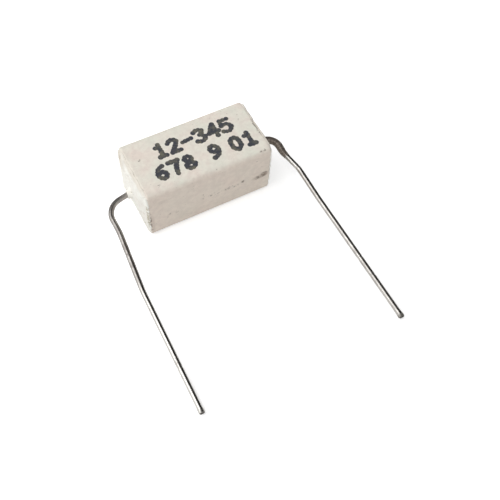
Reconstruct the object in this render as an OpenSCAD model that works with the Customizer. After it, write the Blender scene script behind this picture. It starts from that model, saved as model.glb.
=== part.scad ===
// Ceramic-cased wirewound resistor with two bent axial leads, as it lies on a table.
// X runs along the body, the leads are bent towards -Y, and Z = 0 is the underside
// of the case. The origin is the middle of that underside.

/* [Ceramic case] */
// Length of the ceramic tube, without the cement on its ends
case_len = 19; // [16:0.5:26]
// Width of the tube across Y
case_w = 10; // [8.6:0.1:12]
// Height of the tube
case_h = 9.6; // [8.6:0.1:12]
// Radius of the four long edges
case_edge_r = 1; // [0.5:0.1:1.5]
// Diameter of the round bore that takes the winding
bore_d = 7; // [5.6:0.1:7.4]
// Chamfer at both mouths of the bore, which keys the cement
mouth_chamfer = 0.4; // [0.1:0.05:0.5]

/* [Cement] */
// Thickness of the cement over each end of the tube, above its rounded rim
seal_t = 0.35; // [0.25:0.05:0.8]
// Extra height of the cement in the middle of each end
seal_dome = 0.2; // [0.1:0.05:0.5]
// How far in from its edge the cement's rim is rounded over
seal_rim = 0.7; // [0.2:0.05:1]
// Step from the tube's outline in to the cement's
seal_inset = 0.12; // [0.05:0.01:0.3]
// How far the cement creeps out along each lead
creep_len = 0.7; // [0.4:0.1:1.2]
// Thickness of the cement around the lead where the creep ends
creep_t = 0.25; // [0.15:0.05:0.5]
// Gap between the winding and the cement around it
cement_gap = 0.02; // [0.01:0.01:0.1]

/* [Core and winding] */
// Diameter of the rod that carries the winding
core_d = 3.4; // [2.6:0.1:3.8]
// Length of the rod
core_len = 14; // [11:0.5:15]
// Chamfer at the rod's ends
core_chamfer = 0.15; // [0.05:0.05:0.3]
// Diameter of the resistance wire
wire_d = 0.12; // [0.08:0.01:0.2]
// Distance from one turn to the next
wire_pitch = 0.4; // [0.3:0.05:0.8]
// Length of bare rod past the last turn at each end
wire_margin = 0.35; // [0.25:0.05:0.8]
// Gap between the rod and the flats of the wound wire
wire_seat = 0.005; // [0.002:0.001:0.02]

/* [End caps] */
// Wall of the pressed steel caps
cap_wall = 0.28; // [0.2:0.02:0.4]
// Length of a cap's skirt over the winding
cap_skirt = 2.3; // [1.6:0.1:3]
// Gap between the winding and the cap crimped over it
cap_gap = 0.02; // [0.01:0.01:0.05]
// Rounding around a cap's closed end
cap_corner_r = 0.25; // [0.1:0.05:0.25]
// Width of the crimped groove in the skirt
crimp_w = 0.5; // [0.3:0.1:0.8]
// Depth of the crimped groove
crimp_depth = 0.1; // [0.05:0.01:0.12]

/* [Leads] */
// Diameter of the lead wire
lead_d = 0.8; // [0.6:0.05:1]
// Diameter of the weld bead on the cap
weld_d = 1.5; // [1.2:0.1:2]
// Length of the weld bead along the lead
weld_len = 0.4; // [0.2:0.1:0.6]
// Chamfer left by the cutter at a lead's tip
tip_chamfer = 0.1; // [0.05:0.01:0.15]
// Straight bare wire between the cement and the bend of the left lead
left_bare = 0.3; // [0.1:0.05:3]
// Bend radius of the left lead
left_bend_r = 3; // [1.4:0.1:4]
// Distance from the body's axis out to the left lead's tip
left_reach = 32.5; // [28:0.1:38]
// Straight bare wire between the cement and the bend of the right lead
right_bare = 0.2; // [0.1:0.05:3]
// Bend radius of the right lead
right_bend_r = 1.9; // [1.4:0.1:3]
// Distance from the body's axis out to the right lead's tip
right_reach = 32.7; // [28:0.1:38]
// Thickness of the dark crust on the right lead where it leaves the cement
crust_t = 0.15; // [0.05:0.01:0.2]
// Length over which the crust thins out past the bend
crust_taper = 0.6; // [0.3:0.1:1]
// Radius of the slight kinks that handling left in both leads
kink_r = 6; // [4:0.5:6.5]
// How much thinner the wire is drawn where it is bent
bend_neck = 0.01; // [0.01:0.01:0.04]

/* [Hidden] */
$fn = 96;

// Height of the axis that the bore, rod, caps and leads share
axis_z = case_h / 2;
case_end_x = case_len / 2;

// A seal is a stack of outlines that shrink as they rise: first around the
// rounded rim, then over the dome
seal_rim_steps = 4;
seal_dome_steps = 4;
seal_half = min(case_w, case_h) / 2 - seal_inset;
seal_peak_x = case_end_x + seal_t + seal_dome;
slice = 0.01;

// How far a cut runs out past the face that it opens
cut_past = 1;

// The creep is a fillet that starts a little below the dome's peak
creep_sink = 0.1;
creep_end_x = seal_peak_x + creep_len;

// The wound wire is a six-sided tube. Its radius is enlarged so that the flats
// between two rings clear the rod.
wire_sides = 6;
turn_rings = 14;
coil_r = core_d / 2 / cos(180 / turn_rings) + wire_seat + wire_d / 2;
coil_outer_r = coil_r + wire_d / 2;
coil_len = core_len - 2 * wire_margin;
coil_rings = floor(coil_len / wire_pitch * turn_rings);

// The caps close on the rod's ends and slip over the wound wire
cap_inner_r = coil_outer_r + cap_gap;
cap_outer_r = cap_inner_r + cap_wall;
cap_face_x = core_len / 2 + cap_wall;

// A bend's arc is tucked this far into the straights on both sides of it
bend_tuck = 0.06;

// Each lead is laid out flat: x along the body, y away from it. A kink is
// [distance past the bend, sideways shift from the bend's corner].
left_kinks = [[2.3, 0], [11.9, 0.7]];
left_tip_shift = 0.7;
right_kinks = [[1.1, 0.06], [4.5, 0.9], [10.1, 1.15]];
right_tip_shift = 2.67;

// Number of legs that a lead's crust covers, each with less of it than the last
left_crust_legs = 0;
right_crust_legs = 2;

// Where the two straights that a bend joins would cross
function corner_x(bare, bend_r, kink) =
    creep_end_x + bare + bend_r * tan((90 - atan(kink[1] / (bend_r + kink[0]))) / 2);

function lead_points(bare, bend_r, kinks, reach, tip_shift) =
    let (x = corner_x(bare, bend_r, kinks[0])) concat(
        [[cap_face_x, 0], [x, 0]],
        [for (k = kinks) [x + k[1], -bend_r - k[0]]],
        [[x + tip_shift, -reach]]
    );

function lead_radii(bend_r, kinks) = concat([0, bend_r], [for (k = kinks) kink_r], [0]);

// Slope at which a lead comes down from the axis so that its tip meets the table
function lead_slope(reach) =
    asin(axis_z / norm([reach, lead_d / 2])) - atan(lead_d / 2 / reach);

// Heading of a route's leg, how far it turns at a corner, and how much of each
// leg the corner's arc takes
function heading(p, i) = atan2(p[i + 1][1] - p[i][1], p[i + 1][0] - p[i][0]);
function is_end(p, i) = i == 0 || i == len(p) - 1;
function turn(p, i) = is_end(p, i) ? 0 : heading(p, i) - heading(p, i - 1);
function tangent_len(p, radii, i) = radii[i] * tan(abs(turn(p, i)) / 2);
function along(p, i, d) = p[i] + d * [cos(heading(p, i)), sin(heading(p, i))];

// Radius of a lead's leg with what it has of the crust
function leg_r(i, crust_legs) =
    lead_d / 2 + (i < crust_legs ? crust_t * (1 - i / crust_legs) : 0);

// One point of the winding's tube: ring k, side j
function coil_point(k, j) =
    let (
        a = 360 * k / turn_rings,
        b = 360 * j / wire_sides,
        lead_angle = atan(wire_pitch / (2 * PI * coil_r)),
        outward = [0, cos(a), sin(a)],
        across = [cos(lead_angle), sin(lead_angle) * sin(a), -sin(lead_angle) * cos(a)],
        centre = [-coil_len / 2 + wire_pitch * k / turn_rings, coil_r * cos(a), coil_r * sin(a)]
    )
    centre + wire_d / 2 * (cos(b) * outward + sin(b) * across);

// A rectangle with true round corners, centred on the origin
module rounded_rect(w, h, r) {
    square([w - 2 * r, h], center = true);
    square([w, h - 2 * r], center = true);
    for (sx = [-1, 1], sy = [-1, 1])
        translate([sx * (w / 2 - r), sy * (h / 2 - r)]) circle(r);
}

// Lays a solid that stands on Z along X, on the body's axis
module on_axis(x = 0) {
    translate([x, 0, axis_z]) rotate([0, 90, 0]) children();
}

// Sets a right-hand piece on the right end, or its mirror image on the left end
module at_end(side) {
    mirror([side < 0 ? 1 : 0, 0, 0]) children();
}

module ceramic_case() {
    color([0.88, 0.86, 0.81]) difference() {
        on_axis() linear_extrude(case_len, center = true)
            rounded_rect(case_h, case_w, case_edge_r);
        on_axis() cylinder(d = bore_d, h = case_len + 2 * cut_past, center = true);
        for (side = [-1, 1]) at_end(side) on_axis(case_end_x - mouth_chamfer)
            cylinder(r1 = bore_d / 2, r2 = bore_d / 2 + 2 * mouth_chamfer, h = 2 * mouth_chamfer);
    }
}

// One outline of the seal, shrunk by inset, at a height above the tube's end
module seal_slice(height, inset) {
    translate([0, 0, height]) linear_extrude(slice)
        rounded_rect(case_h - 2 * inset, case_w - 2 * inset, max(case_edge_r - inset, seal_rim), $fn = 32);
}

// The cement over one end of the tube: a round rim, then a low dome
module end_seal() {
    hull() {
        for (i = [0 : seal_rim_steps]) let (a = 90 * i / seal_rim_steps)
            seal_slice((seal_t - slice) * sin(a), seal_inset + seal_rim * (1 - cos(a)));
        for (i = [1 : seal_dome_steps]) let (s = i / seal_dome_steps)
            seal_slice(
                seal_t - slice + seal_dome * s * (2 - s),
                seal_inset + seal_rim + s * (seal_half - 2 * seal_rim)
            );
    }
}

// The cement that creeps along a lead, from the dome's peak outwards
module creep() {
    fillet_x = lead_d / 2 + creep_t + creep_len;
    rotate_extrude() difference() {
        translate([0, -seal_t]) square([fillet_x, creep_len + seal_t]);
        translate([fillet_x, creep_len - creep_sink]) circle(creep_len);
        translate([fillet_x - creep_len, creep_len - creep_sink]) square(creep_len);
    }
}

module cement_filling() {
    color([0.95, 0.94, 0.9]) difference() {
        union() {
            on_axis() cylinder(d = bore_d, h = case_len, center = true);
            for (side = [-1, 1]) at_end(side) {
                on_axis(case_end_x - mouth_chamfer)
                    cylinder(r1 = bore_d / 2, r2 = bore_d / 2 + mouth_chamfer, h = mouth_chamfer);
                on_axis(case_end_x) end_seal();
                on_axis(seal_peak_x) creep();
            }
        }
        on_axis() cylinder(r = coil_outer_r + cement_gap, h = core_len, center = true);
        for (side = [-1, 1]) at_end(side) {
            on_axis(core_len / 2) cap_form();
            on_axis(cap_face_x) lead_root(seal_peak_x + 2 * creep_len - cap_face_x);
        }
    }
}

module core_rod() {
    r = core_d / 2;
    c = core_chamfer;
    half = core_len / 2;
    color([0.93, 0.91, 0.84]) on_axis() rotate_extrude() polygon([
        [0, -half], [r - c, -half], [r, c - half], [r, half - c], [r - c, half], [0, half]
    ]);
}

module resistance_winding() {
    last = coil_rings * wire_sides;
    points = [for (k = [0 : coil_rings], j = [0 : wire_sides - 1]) coil_point(k, j)];
    walls = [
        for (k = [0 : coil_rings - 1], j = [0 : wire_sides - 1])
            let (
                a = k * wire_sides + j,
                b = k * wire_sides + (j + 1) % wire_sides
            )
            each [[a, b, a + wire_sides], [b, b + wire_sides, a + wire_sides]]
    ];
    start = [for (j = [1 : wire_sides]) wire_sides - j];
    end = [for (j = [0 : wire_sides - 1]) last + j];
    color([0.55, 0.5, 0.45]) translate([0, 0, axis_z])
        polyhedron(points, concat([start], walls, [end]));
}

// The outside of a cap as a solid, with its origin on the rod's end face
module cap_form() {
    rotate_extrude() difference() {
        union() {
            translate([0, -cap_skirt]) square([cap_outer_r, cap_skirt + cap_wall - cap_corner_r]);
            translate([0, -cap_skirt]) square([cap_outer_r - cap_corner_r, cap_skirt + cap_wall]);
            translate([cap_outer_r - cap_corner_r, cap_wall - cap_corner_r]) circle(cap_corner_r);
        }
        translate([cap_outer_r, -cap_skirt / 2]) polygon([
            [-crimp_depth, 0], [crimp_depth, -crimp_w], [crimp_depth, crimp_w]
        ]);
    }
}

module end_cap() {
    color([0.72, 0.72, 0.7]) on_axis(core_len / 2) difference() {
        cap_form();
        translate([0, 0, -2 * cap_skirt]) cylinder(r = cap_inner_r, h = 2 * cap_skirt);
    }
}

module end_cap_left() { at_end(-1) end_cap(); }

module end_cap_right() { end_cap(); }

// The first straight of a lead, with the bead of its weld at the foot. The crust
// covers the bare stretch at its end.
module lead_root(length, bare = 0, crusted_r = 0) {
    wire = [[0, 0], [weld_d / 2, 0], [lead_d / 2, weld_len]];
    crusted = [
        [lead_d / 2, length - bare], [crusted_r, length - bare], [crusted_r, length], [0, length]
    ];
    clean = [[lead_d / 2, length], [0, length]];
    rotate_extrude() polygon(concat(wire, crusted_r > lead_d / 2 ? crusted : clean));
}

// The straight on which the crust thins out, once the bend's arc is covered
module lead_taper(length, crusted_r) {
    full = 2 * bend_tuck;
    rotate_extrude() polygon([
        [0, 0], [crusted_r, 0], [crusted_r, full], [lead_d / 2, full + crust_taper],
        [lead_d / 2, length], [0, length]
    ]);
}

// The last straight of a lead, with the cutter's chamfer at its tip
module lead_tip(length) {
    rotate_extrude() polygon([
        [0, 0], [lead_d / 2, 0], [lead_d / 2, length - tip_chamfer],
        [lead_d / 2 - tip_chamfer, length], [0, length]
    ]);
}

// A wire bent at the inner points of a flat route, as straights and true arcs
module bent_lead(p, radii, bare, crust_legs) {
    last = len(p) - 2;
    for (i = [0 : last]) {
        from = tangent_len(p, radii, i);
        length = norm(p[i + 1] - p[i]) - from - tangent_len(p, radii, i + 1);
        translate(along(p, i, from)) rotate([0, 0, heading(p, i)]) rotate([0, 90, 0])
            if (i == 0) lead_root(length, bare, leg_r(0, crust_legs));
            else if (i == crust_legs) lead_taper(length, leg_r(i - 1, crust_legs));
            else if (i == last) lead_tip(length);
            else cylinder(r = leg_r(i, crust_legs), h = length);
    }
    for (i = [1 : last]) {
        r = radii[i];
        side = sign(turn(p, i));
        h = heading(p, i);
        tuck = asin(bend_tuck / r);
        sweep = abs(turn(p, i)) + 2 * tuck;
        translate(along(p, i, tangent_len(p, radii, i)) + side * r * [-sin(h), cos(h)])
            rotate([0, 0, side > 0 ? h - 90 - sweep + tuck : h + 90 - tuck])
                rotate_extrude(angle = sweep) translate([r, 0])
                    circle(r = leg_r(i - 1, crust_legs) - bend_neck / 2);
    }
}

// Tilts a flat lead down about the body's axis, until its tip meets the table
module lead(bare, bend_r, kinks, reach, tip_shift, crust_legs) {
    color([0.66, 0.66, 0.64]) translate([0, 0, axis_z]) rotate([lead_slope(reach), 0, 0])
        bent_lead(
            lead_points(bare, bend_r, kinks, reach, tip_shift), lead_radii(bend_r, kinks),
            bare, crust_legs
        );
}

module lead_left() {
    at_end(-1)
        lead(left_bare, left_bend_r, left_kinks, left_reach, left_tip_shift, left_crust_legs);
}

module lead_right() {
    lead(right_bare, right_bend_r, right_kinks, right_reach, right_tip_shift, right_crust_legs);
}

ceramic_case();
cement_filling();
core_rod();
resistance_winding();
end_cap_left();
end_cap_right();
lead_left();
lead_right();
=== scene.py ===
# %% [markdown]
# A ceramic-cased wirewound resistor lies on a white table, with both leads bent the
# same way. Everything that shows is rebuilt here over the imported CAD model: the fired
# ceramic tube, the cement that seals its ends, the stamped marks and the two tinned
# leads. The winding inside is made again too, because a helix is a good first lesson
# in Geometry Nodes. Sizes are in millimetres up to the last step of each piece, where
# one factor turns them into metres.

# %% Load the frame
import math
from functools import partial

import bpy
import numpy as np
from mathutils import Matrix, Vector, noise


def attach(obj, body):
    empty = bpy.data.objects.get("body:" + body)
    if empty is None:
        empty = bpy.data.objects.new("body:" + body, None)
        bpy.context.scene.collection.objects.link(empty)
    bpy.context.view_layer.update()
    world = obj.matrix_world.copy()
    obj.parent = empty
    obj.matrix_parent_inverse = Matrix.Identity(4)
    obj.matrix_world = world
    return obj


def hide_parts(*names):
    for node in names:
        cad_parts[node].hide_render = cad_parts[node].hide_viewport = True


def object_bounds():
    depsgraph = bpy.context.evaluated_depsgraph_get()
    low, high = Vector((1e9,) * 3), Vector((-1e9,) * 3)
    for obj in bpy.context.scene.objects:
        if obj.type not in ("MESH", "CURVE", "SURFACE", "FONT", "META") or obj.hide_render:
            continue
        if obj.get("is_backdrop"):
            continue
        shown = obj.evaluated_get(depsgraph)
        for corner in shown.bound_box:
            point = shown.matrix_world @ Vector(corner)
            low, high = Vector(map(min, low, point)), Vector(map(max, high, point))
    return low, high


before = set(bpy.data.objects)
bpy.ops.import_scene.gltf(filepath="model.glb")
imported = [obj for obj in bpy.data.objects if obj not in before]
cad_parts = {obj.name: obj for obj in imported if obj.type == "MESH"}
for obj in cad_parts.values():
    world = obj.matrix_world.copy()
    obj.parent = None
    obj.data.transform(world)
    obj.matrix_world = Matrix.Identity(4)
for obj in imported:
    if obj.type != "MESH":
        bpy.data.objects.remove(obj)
CAD_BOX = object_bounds()
MM = 0.001
print("nodes:", ", ".join(sorted(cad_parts)))


# %% [markdown]
# A few helpers serve every cell. The first turns the hex code of a colour, as a paint
# program shows it, into the linear numbers that Blender works in. The second adds one
# node to a tree and fills its sockets, by name from a dictionary or in their order from
# a list. A node or a socket that is given there is linked, and anything else is typed
# in. A Map Range filled in order takes the value, the range it comes in and the range
# it goes to. With this a material reads as a list of what is done to the surface.

# %% Helpers for colours, nodes and objects
def colour(hex_code):
    """An sRGB hex code as the linear RGBA that the sockets take."""
    parts = [int(hex_code[i:i + 2], 16) / 255 for i in (1, 3, 5)]
    linear = [c / 12.92 if c <= 0.04045 else ((c + 0.055) / 1.055) ** 2.4 for c in parts]
    return (*linear, 1.0)


def add(tree, kind, sockets=(), stops=None, **settings):
    """Adds a node with its settings and a ramp's stops, and fills its input sockets."""
    node = tree.nodes.new(kind)
    for name, value in settings.items():
        setattr(node, name, value)
    for k, (position, hex_code) in enumerate((stops or {}).items()):
        elements = node.color_ramp.elements
        stop = elements[k] if k < 2 else elements.new(position)
        stop.position, stop.color = position, colour(hex_code)
    for key, value in sockets.items() if isinstance(sockets, dict) else enumerate(sockets):
        if isinstance(value, bpy.types.Node):
            value = next(output for output in value.outputs if output.enabled)
        if isinstance(value, bpy.types.NodeSocket):
            tree.links.new(value, node.inputs[key])
        else:
            node.inputs[key].default_value = value
    return node


def emptied(owner):
    """Clears the nodes of a material or world, and gives the function that adds to them."""
    owner.use_nodes = True
    owner.node_tree.nodes.clear()
    return partial(add, owner.node_tree)


def surfaced(material, shader):
    """Ends a material in its shader, and says how many nodes it took."""
    add(material.node_tree, "ShaderNodeOutputMaterial", {"Surface": shader})
    print("%s: %d nodes" % (material.name, len(material.node_tree.nodes)))
    return material


def linked(name, data):
    """An object of the scene that shows data."""
    made = bpy.data.objects.new(name, data)
    bpy.context.scene.collection.objects.link(made)
    return made


def square(name, side):
    """A flat square mesh that faces up."""
    half = side / 2
    mesh = bpy.data.meshes.new(name)
    corners = [(-half, -half, 0), (half, -half, 0), (half, half, 0), (-half, half, 0)]
    mesh.from_pydata(corners, [], [(0, 1, 2, 3)])
    return mesh


print("the mid grey #808080 is %.3f as linear light" % colour("#808080")[0])


# %% [markdown]
# The sizes below are the real ones, in millimetres. The case is 19 mm long, 10 mm
# wide and 9.6 mm high, and lies on its underside, so its axis is half its height
# above the table. The leads are wire of 0.8 mm.

# %% Sizes of the real thing, in millimetres
CASE_LEN, CASE_W, CASE_H = 19.0, 10.0, 9.6
CASE_EDGE_R, END_ROUNDING = 1.0, 0.25
BORE_R, MOUTH_CHAMFER = 3.5, 0.4

SEAL_T, SEAL_DOME, SEAL_RIM, SEAL_INSET = 0.35, 0.2, 0.9, 0.07
CREEP_LEN, CREEP_T, CREEP_SINK = 0.7, 0.25, 0.1

CORE_LEN = 14.0
WINDING_R, WINDING_WIRE_R, WINDING_PITCH, WINDING_MARGIN = 1.81, 0.06, 0.4, 0.35
CAP_SKIRT, CAP_WALL, CAP_INNER_R, CAP_CORNER_R = 2.3, 0.28, 1.89, 0.25

LEAD_R, WELD_R, WELD_LEN = 0.4, 0.75, 0.4

AXIS_Z = CASE_H / 2
CASE_END_X = CASE_LEN / 2
SEAL_PEAK_X = CASE_END_X + SEAL_T + SEAL_DOME
CREEP_END_X = SEAL_PEAK_X + CREEP_LEN
CAP_OUTER_R = CAP_INNER_R + CAP_WALL
CAP_FACE_X = CORE_LEN / 2 + CAP_WALL
print("the creep ends %.2f mm from the middle of the body" % CREEP_END_X)


# %% [markdown]
# The camera comes first, because every later choice is judged through it. A camera
# is a place, a point that it looks at, a roll about its line of sight and a lens. The
# place and lens here were found by fitting the case's straight edges, which pins
# them down well: the three sets of parallel edges give three vanishing points.

# %% Camera
CAMERA_AT = Vector((-27.784, -62.214, 96.069)) * MM
LOOKS_AT = Vector((0.519, -15.806, 4.8)) * MM
ROLL = math.radians(4.07)
LENS, SENSOR = 56.24, 36.0

camera_data = bpy.data.cameras.new("camera")
camera_data.lens = LENS
camera_data.sensor_width = SENSOR
camera_data.clip_start = 0.005
camera = linked("camera", camera_data)
aim = (LOOKS_AT - CAMERA_AT).to_track_quat("-Z", "Y").to_matrix().to_4x4()
camera.matrix_world = Matrix.Translation(CAMERA_AT) @ aim @ Matrix.Rotation(ROLL, 4, "Z")
bpy.context.scene.camera = camera
bpy.context.scene.view_settings.view_transform = "Standard"
print("camera to object: %.0f mm" % ((LOOKS_AT - CAMERA_AT).length / MM))


# %% [markdown]
# The stage is a white table under a soft sky, with one large lamp at the upper left.
# Black cards stand on the right and behind, out of the picture. Photographers call
# them flags, and wire needs them: a round wire mirrors the whole room, and where the
# room is white all over, the wire turns flat and pale. The cards put a dark band along
# each wire and round its bends. The table and the sky read as pure white by the Light
# Path node, which leaves the light on the object alone.

# %% Sky, lamp and flags
SKY_BRIGHT_SIDE = Vector((-0.8, -0.2, 0.6)).normalized()
SKY_BRIGHT, SKY_DARK, SKY_SPREAD = 0.72, 0.27, 0.6
LAMP_FROM = Vector((-0.55, 0.15, 0.82)).normalized()
LAMP_DISTANCE, LAMP_SIZE, LAMP_POWER = 0.35, 0.3, 0.6
# Each flag is the direction that it stands in, its distance and its side in metres
FLAGS = {"right_flag": ((0.6, 0.25, 0.76), 0.3, 0.74),
         "back_flag": ((-0.16, 0.89, 0.42), 0.4, 0.54)}


def seen_directly(put):
    """1 for rays that come from the camera, or by way of a mirror or glass."""
    path = put("ShaderNodeLightPath").outputs
    seen = put("ShaderNodeMath", [path["Is Camera Ray"], path["Is Glossy Ray"]], operation="MAXIMUM")
    return put("ShaderNodeMath", [seen, path["Is Transmission Ray"]], operation="MAXIMUM")


def make_sky():
    world = bpy.data.worlds.new("studio sky")
    bpy.context.scene.world = world
    put = emptied(world)
    direction = put("ShaderNodeTexCoord").outputs["Generated"]
    facing = put("ShaderNodeVectorMath", [direction, SKY_BRIGHT_SIDE], operation="DOT_PRODUCT")
    level = put("ShaderNodeMapRange", [facing, -SKY_SPREAD, SKY_SPREAD, SKY_DARK, SKY_BRIGHT],
                interpolation_type="SMOOTHSTEP")
    strength = put("ShaderNodeMix", {"Factor": seen_directly(put), "A": level, "B": 1.0},
                   data_type="FLOAT")
    glow = put("ShaderNodeBackground", {"Color": (1, 1, 1, 1), "Strength": strength})
    put("ShaderNodeOutputWorld", {"Surface": glow})


def make_lamp():
    data = bpy.data.lights.new("softbox", "AREA")
    data.size = LAMP_SIZE
    data.energy = LAMP_POWER
    turn = LAMP_FROM.to_track_quat("Z", "Y").to_matrix().to_4x4()
    linked("softbox", data).matrix_world = Matrix.Translation(LAMP_FROM * LAMP_DISTANCE) @ turn


def black_card():
    material = bpy.data.materials.new("black card")
    put = emptied(material)
    return surfaced(material, put("ShaderNodeBsdfDiffuse", [colour("#1e1d1c")]))


def make_flag(name, stands_in, distance, side, material):
    mesh = square(name, side)
    stands_in = Vector(stands_in).normalized()
    turn = stands_in.to_track_quat("-Z", "Y").to_matrix().to_4x4()
    mesh.transform(Matrix.Translation(stands_in * distance) @ turn)
    mesh.materials.append(material)
    flag = linked(name, mesh)
    flag.visible_camera = False
    flag.visible_diffuse = False
    flag.visible_shadow = False
    flag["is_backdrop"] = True
    print("%s: %.2f m wide, %.2f m away" % (name, side, distance))


make_sky()
make_lamp()
CARD = black_card()
for flag_name, flag in FLAGS.items():
    make_flag(flag_name, *flag, CARD)


# %% [markdown]
# The table is matt and nearly white, and glows a little where it is seen, so that it
# is white right up to the object and still keeps the soft shadow that the object casts.

# %% Table
TABLE_SIDE = 1.8
OWN_LIGHT = 0.43


def make_table():
    material = bpy.data.materials.new("white table")
    put = emptied(material)
    own_light = put("ShaderNodeMath", [seen_directly(put), OWN_LIGHT], operation="MULTIPLY")
    matt = put("ShaderNodeBsdfDiffuse", [colour("#f2f2f2")])
    glow = put("ShaderNodeEmission", {"Color": (1, 1, 1, 1), "Strength": own_light})
    mesh = square("table", TABLE_SIDE)
    mesh.materials.append(surfaced(material, put("ShaderNodeAddShader", [matt, glow])))
    linked("table", mesh)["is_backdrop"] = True
    print("table: %.1f m wide" % TABLE_SIDE)


make_table()


# %% [markdown]
# The ceramic case and the cement in it are both rings of points that run round the
# body's axis, like the hoops of a barrel. A ring can be a rounded rectangle, a circle
# or anything between, and because every ring has the same number of points, two
# neighbours always join into a clean band of quads. The rounded rectangle is walked in
# equal steps with its normal kept beside each point, so shrinking it is one line.

# %% Rings around the axis
RING_STEP = 0.12


def rounded_outline(width, height, radius, step):
    """Points and outward normals round a rounded rectangle, in the Y and Z plane."""
    points, normals = [], []
    corners = [(1, 1, 0), (-1, 1, 90), (-1, -1, 180), (1, -1, 270)]
    flats = [width - 2 * radius, height - 2 * radius]
    arc_steps = round(math.pi / 2 * radius / step)
    for k, (sy, sz, start) in enumerate(corners):
        cy, cz = sy * (width / 2 - radius), sz * (height / 2 - radius)
        for i in range(arc_steps):
            a = math.radians(start + 90 * i / arc_steps)
            points.append((cy + radius * math.cos(a), cz + radius * math.sin(a)))
            normals.append((math.cos(a), math.sin(a)))
        flat = flats[k % 2]
        a = math.radians(start + 90)
        n = (math.cos(a), math.sin(a))
        flat_steps = round(flat / step)
        for i in range(flat_steps):
            along = flat * i / flat_steps
            points.append((cy + radius * n[0] - along * n[1], cz + radius * n[1] + along * n[0]))
            normals.append(n)
    return np.array(points), np.array(normals)


OUTLINE, OUTLINE_NORMAL = rounded_outline(CASE_W, CASE_H, CASE_EDGE_R, RING_STEP)
AROUND = OUTLINE / np.linalg.norm(OUTLINE, axis=1)[:, None]


def shrunk(inset):
    """The case's outline, moved in by inset at every point."""
    return OUTLINE - np.asarray(inset).reshape(-1, 1) * OUTLINE_NORMAL


def ring(x, section):
    """A ring of points at x along the body, from its section around the axis."""
    return np.column_stack([np.broadcast_to(x, len(section)), section[:, 0], section[:, 1] + AXIS_Z])


def points_of(mesh):
    """The points of a mesh, and how far each is from the body's axis."""
    co = np.array([v.co for v in mesh.vertices])
    return co, np.hypot(co[:, 1], co[:, 2] - AXIS_Z)


def volume_of(mesh):
    """Signed volume inside a closed mesh: positive when its faces point outwards."""
    mesh.calc_loop_triangles()
    co, _ = points_of(mesh)
    a, b, c = (co[[t.vertices[k] for t in mesh.loop_triangles]] for k in range(3))
    return float(np.einsum("ij,ij->i", a, np.cross(b, c)).sum() / 6)


def mesh_from_rings(name, rings):
    """Joins a closed series of rings into one skin, like the wall of a tyre."""
    points = np.array(rings)
    count, around = points.shape[:2]
    i, j = np.meshgrid(np.arange(count), np.arange(around), indexing="ij")
    i2, j2 = (i + 1) % count, (j + 1) % around
    quads = np.stack([i * around + j, i * around + j2, i2 * around + j2, i2 * around + j], axis=-1)
    mesh = bpy.data.meshes.new(name)
    mesh.from_pydata(points.reshape(-1, 3).tolist(), [], quads.reshape(-1, 4).tolist())
    if volume_of(mesh) < 0:
        mesh.flip_normals()
    print("%s: %d rings of %d points, %.0f mm3" % (name, count, around, volume_of(mesh)))
    return mesh


print("points in a ring:", len(OUTLINE))


# %% [markdown]
# Four pieces are finished by Geometry Nodes, and their trees begin and end alike. A
# tree begins with named inputs for its sizes, whose kind follows from their first
# value. It ends with smooth shading, the turn from millimetres to metres, plain
# geometry in place of instances, and the material. The result is kept as a plain mesh.

# %% How a tree begins, ends and runs
SOCKET_KINDS = {float: "NodeSocketFloat", int: "NodeSocketInt", tuple: "NodeSocketVector"}


def new_tree(name, inputs):
    """A tree with its named inputs, the function that adds to it, and what it is given."""
    tree = bpy.data.node_groups.new(name, "GeometryNodeTree")
    face = tree.interface
    face.new_socket("Geometry", in_out="INPUT", socket_type="NodeSocketGeometry")
    for label, value in inputs.items():
        kind = SOCKET_KINDS[type(value)]
        face.new_socket(label, in_out="INPUT", socket_type=kind).default_value = value
    face.new_socket("Material", in_out="INPUT", socket_type="NodeSocketMaterial")
    face.new_socket("Geometry", in_out="OUTPUT", socket_type="NodeSocketGeometry")
    return tree, partial(add, tree), add(tree, "NodeGroupInput").outputs


def finish_tree(tree, given, geometry):
    """Adds the last steps of a tree, which every piece needs."""
    steps = {"GeometryNodeSetShadeSmooth": {}, "GeometryNodeTransform": {"Scale": (MM, MM, MM)},
             "GeometryNodeRealizeInstances": {},
             "GeometryNodeSetMaterial": {"Material": given["Material"]}}
    for kind, sockets in steps.items():
        geometry = add(tree, kind, {"Geometry": geometry, **sockets})
    add(tree, "NodeGroupOutput", {"Geometry": geometry})
    print("%s: %d nodes" % (tree.name, len(tree.nodes)))
    return tree


def grown(name, data, tree, values):
    """Runs a Geometry Nodes tree on data, and keeps the result as a plain mesh object."""
    start = linked(name + " seed", data)
    modifier = start.modifiers.new("nodes", "NODES")
    modifier.node_group = tree
    for item in tree.interface.items_tree:
        if item.in_out == "INPUT" and item.name in values:
            modifier[item.identifier] = values[item.name]
    start.update_tag()
    depsgraph = bpy.context.evaluated_depsgraph_get()
    mesh = bpy.data.meshes.new_from_object(start.evaluated_get(depsgraph))
    mesh.name = name
    start.modifiers.remove(modifier)
    bpy.data.objects.remove(start)
    mesh.calc_loop_triangles()
    print("%s: %d triangles" % (name, len(mesh.loop_triangles)))
    return linked(name, mesh)


def mark_points(mesh, name, values):
    """Keeps one number for each point of a mesh, for nodes and materials to read."""
    layer = mesh.attributes.new(name, "FLOAT", "POINT")
    layer.data.foreach_set("value", np.asarray(values, np.float32))


print("kinds of input that a tree may have:", len(SOCKET_KINDS))


# %% [markdown]
# Fired ceramic and set cement are never smooth: the face swells and sinks a little,
# and air has left pores. Both are the same tree with other numbers. It pushes every
# point along its normal by a broad noise and a fine one, then scatters points over
# the surface and presses a round dimple at each. A pore's depth goes into an attribute
# too, so that the material can darken it. The attribute skin says where all this holds.

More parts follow.
